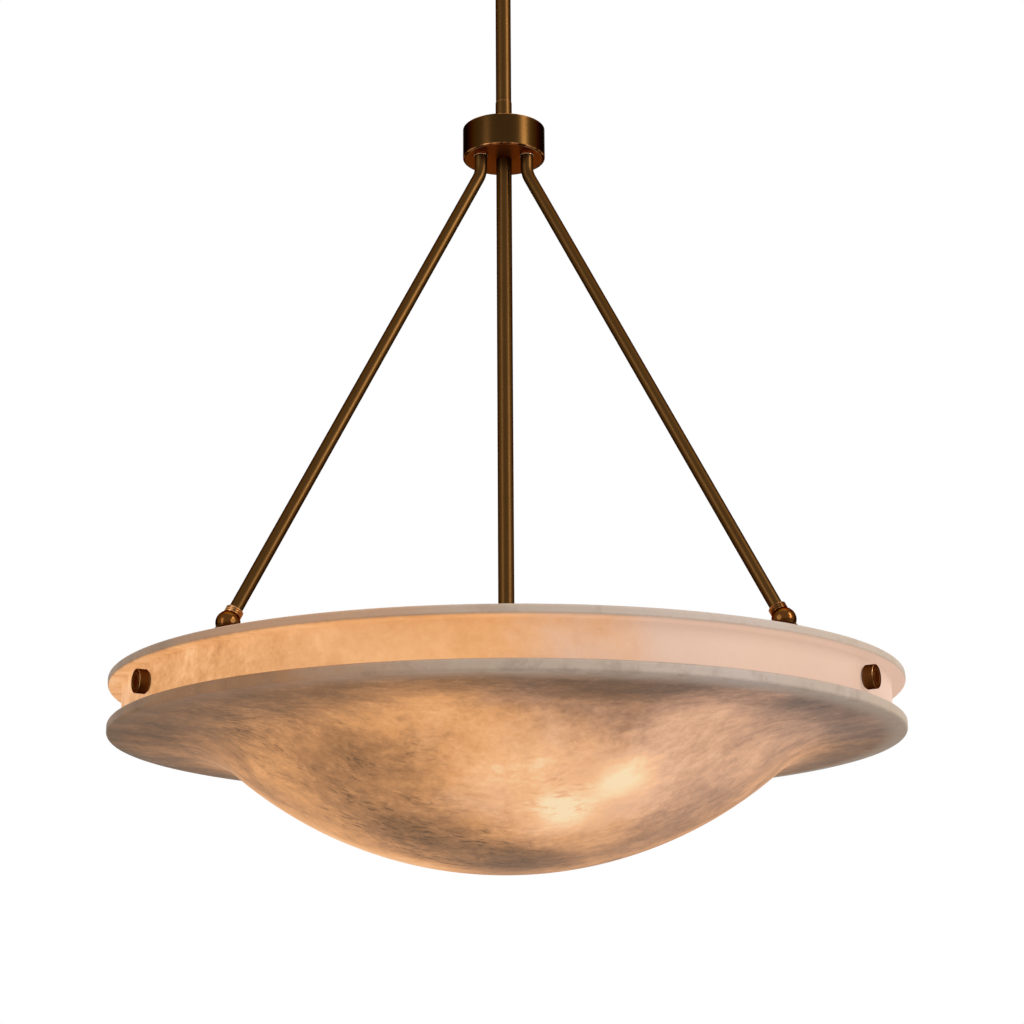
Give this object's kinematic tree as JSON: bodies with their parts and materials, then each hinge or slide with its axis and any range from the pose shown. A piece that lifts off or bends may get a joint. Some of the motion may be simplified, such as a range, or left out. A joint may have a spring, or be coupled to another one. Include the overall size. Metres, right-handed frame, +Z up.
{
  "type": "alabaster bowl pendant",
  "caption": "Ceiling pendant with a wide veined alabaster bowl held by bent brass arms under a round hub, on a stem with a hang-straight ball swivel.",
  "frame": {"origin": "middle of the crossbar's top face, on the ceiling plane", "axes": "+Z up, out of the ceiling face; +X along the crossbar; the front is -Y"},
  "size_m": [0.762, 0.762, 1.1526],
  "materials": {
    "aged_brass": "aged satin brass",
    "bright_brass": "polished brass",
    "dark_brass": "dark bronzed brass",
    "zinc_steel": "zinc plated steel",
    "green_steel": "green ground screw",
    "cable_jacket": "cable jacket",
    "bearing_plastic": "bearing plastic",
    "washer_rubber": "soft washer",
    "alabaster": "honed veined alabaster, lit from inside",
    "lamp_porcelain": "glazed porcelain",
    "contact_brass": "bare brass",
    "lamp_cap_metal": "lamp cap",
    "frosted_glass": "frosted lamp glass"
  },
  "bodies": {
    "ceiling_fixing": {"crossbar": "zinc_steel", "threaded_nipple": "zinc_steel", "nipple_nut": "zinc_steel", "ground_screw": "green_steel", "canopy": "aged_brass", "canopy_ring": "aged_brass", "swivel_socket": "aged_brass", "swivel_cap": "aged_brass", "feed_cable": "cable_jacket"},
    "swivel_lower_ring": {"swivel_lower_bearing": "bearing_plastic"},
    "swivel_upper_ring": {"swivel_upper_bearing": "bearing_plastic"},
    "pendant": {"swivel_ball": "aged_brass", "upper_stem": "aged_brass", "stem_coupler": "aged_brass", "hub_shell": "aged_brass", "hub_base": "aged_brass", "hub_nipple": "zinc_steel", "hub_nuts": "zinc_steel", "arm_nuts": "zinc_steel", "arm_1": "aged_brass", "arm_collar_1": "bright_brass", "knuckle_1": "bright_brass", "bracket_1": "dark_brass", "arm_2": "aged_brass", "arm_collar_2": "bright_brass", "knuckle_2": "bright_brass", "bracket_2": "dark_brass", "arm_3": "aged_brass", "arm_collar_3": "bright_brass", "knuckle_3": "bright_brass", "bracket_3": "dark_brass", "foot_collars": "bright_brass", "knuckle_pins": "dark_brass", "clamp_studs": "zinc_steel", "bracket_washers": "washer_rubber", "alabaster_bowl": "alabaster", "lamp_stem": "aged_brass", "lamp_cable": "cable_jacket", "cluster_body": "aged_brass", "cluster_cover": "aged_brass", "cluster_finial": "aged_brass", "socket_nipples": "zinc_steel", "socket_cores": "lamp_porcelain", "socket_contacts": "contact_brass", "socket_shell_1": "contact_brass", "socket_shell_2": "contact_brass", "socket_shell_3": "contact_brass"},
    "knob_washer_1": {"knob_washer_1": "washer_rubber"},
    "knob_1": {"knob_1": "dark_brass"},
    "knob_washer_2": {"knob_washer_2": "washer_rubber"},
    "knob_2": {"knob_2": "dark_brass"},
    "knob_washer_3": {"knob_washer_3": "washer_rubber"},
    "knob_3": {"knob_3": "dark_brass"},
    "lamp_1": {"lamp_base_1": "lamp_cap_metal", "lamp_glass_1": "frosted_glass"},
    "lamp_2": {"lamp_base_2": "lamp_cap_metal", "lamp_glass_2": "frosted_glass"},
    "lamp_3": {"lamp_base_3": "lamp_cap_metal", "lamp_glass_3": "frosted_glass"}
  },
  "joints": [
    {"name": "swivel_turn", "type": "hinge", "parent": "ceiling_fixing", "child": "swivel_lower_ring", "pos_m": [0, 0, -0.038], "axis": [0, 0, 1], "range_deg": [-170, 170]},
    {"name": "swivel_swing_x", "type": "hinge", "parent": "swivel_lower_ring", "child": "swivel_upper_ring", "pos_m": [0, 0, -0.038], "axis": [1, 0, 0], "range_deg": [-15, 15]},
    {"name": "swivel_swing_y", "type": "hinge", "parent": "swivel_upper_ring", "child": "pendant", "pos_m": [0, 0, -0.038], "axis": [0, 1, 0], "range_deg": [-15, 15]},
    {"name": "knob_1_draw", "type": "slide", "parent": "pendant", "child": "knob_washer_1", "axis": [-0.866, -0.5, 0], "range_m": [0, 0.00698]},
    {"name": "knob_1_turn", "type": "hinge", "parent": "knob_washer_1", "child": "knob_1", "pos_m": [-0.32, -0.18475, -1.00005], "axis": [-0.866, -0.5, 0], "range_deg": [0, 1980]},
    {"name": "knob_2_draw", "type": "slide", "parent": "pendant", "child": "knob_washer_2", "axis": [0.866, -0.5, 0], "range_m": [0, 0.00698]},
    {"name": "knob_2_turn", "type": "hinge", "parent": "knob_washer_2", "child": "knob_2", "pos_m": [0.32, -0.18475, -1.00005], "axis": [0.866, -0.5, 0], "range_deg": [0, 1980]},
    {"name": "knob_3_draw", "type": "slide", "parent": "pendant", "child": "knob_washer_3", "axis": [0, 1, 0], "range_m": [0, 0.00698]},
    {"name": "knob_3_turn", "type": "hinge", "parent": "knob_washer_3", "child": "knob_3", "pos_m": [0, 0.3695, -1.00005], "axis": [0, 1, 0], "range_deg": [0, 1980]},
    {"name": "lamp_1_out", "type": "slide", "parent": "pendant", "child": "lamp_1", "axis": [0.4924, -0.8529, -0.1736], "range_m": [0, 0.024]},
    {"name": "lamp_2_out", "type": "slide", "parent": "pendant", "child": "lamp_2", "axis": [0.4924, 0.8529, -0.1736], "range_m": [0, 0.024]},
    {"name": "lamp_3_out", "type": "slide", "parent": "pendant", "child": "lamp_3", "axis": [-0.9848, 0, -0.1736], "range_m": [0, 0.024]}
  ],
  "couplings": [
    {"joint": "knob_1_turn", "follows": "knob_1_draw", "rad_per_m": 4947.4},
    {"joint": "knob_2_turn", "follows": "knob_2_draw", "rad_per_m": 4947.4},
    {"joint": "knob_3_turn", "follows": "knob_3_draw", "rad_per_m": 4947.4}
  ]
}
